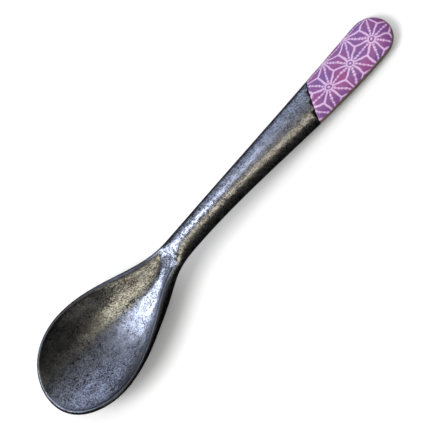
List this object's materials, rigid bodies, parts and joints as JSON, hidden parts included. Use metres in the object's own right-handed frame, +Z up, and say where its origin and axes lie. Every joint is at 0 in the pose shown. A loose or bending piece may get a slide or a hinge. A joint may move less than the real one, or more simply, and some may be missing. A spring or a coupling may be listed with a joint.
{
  "type": "ceramic spoon",
  "caption": "Small stoneware spoon with an oval bowl and arched tapering handle, black crystal glaze and a printed star-lattice handle end.",
  "frame": {"origin": "on the table plane, under the middle of the spoon's length and width", "axes": "+X from the bowl towards the handle end, +Y across, +Z up out of the bowl"},
  "size_m": [0.1404, 0.0304, 0.0144],
  "materials": {
    "stoneware": "bare fired clay, ground flat at the foot",
    "crystal_glaze": "gloss black with fine silvery crystals",
    "pale_glaze": "pale opaque glaze under the print",
    "printed_glaze": "fired purple print on a pale ground, satin"
  },
  "bodies": {
    "root": {"clay_body": "stoneware", "black_glaze": "crystal_glaze", "pale_ground": "pale_glaze", "print_film": "printed_glaze"}
  },
  "joints": []
}
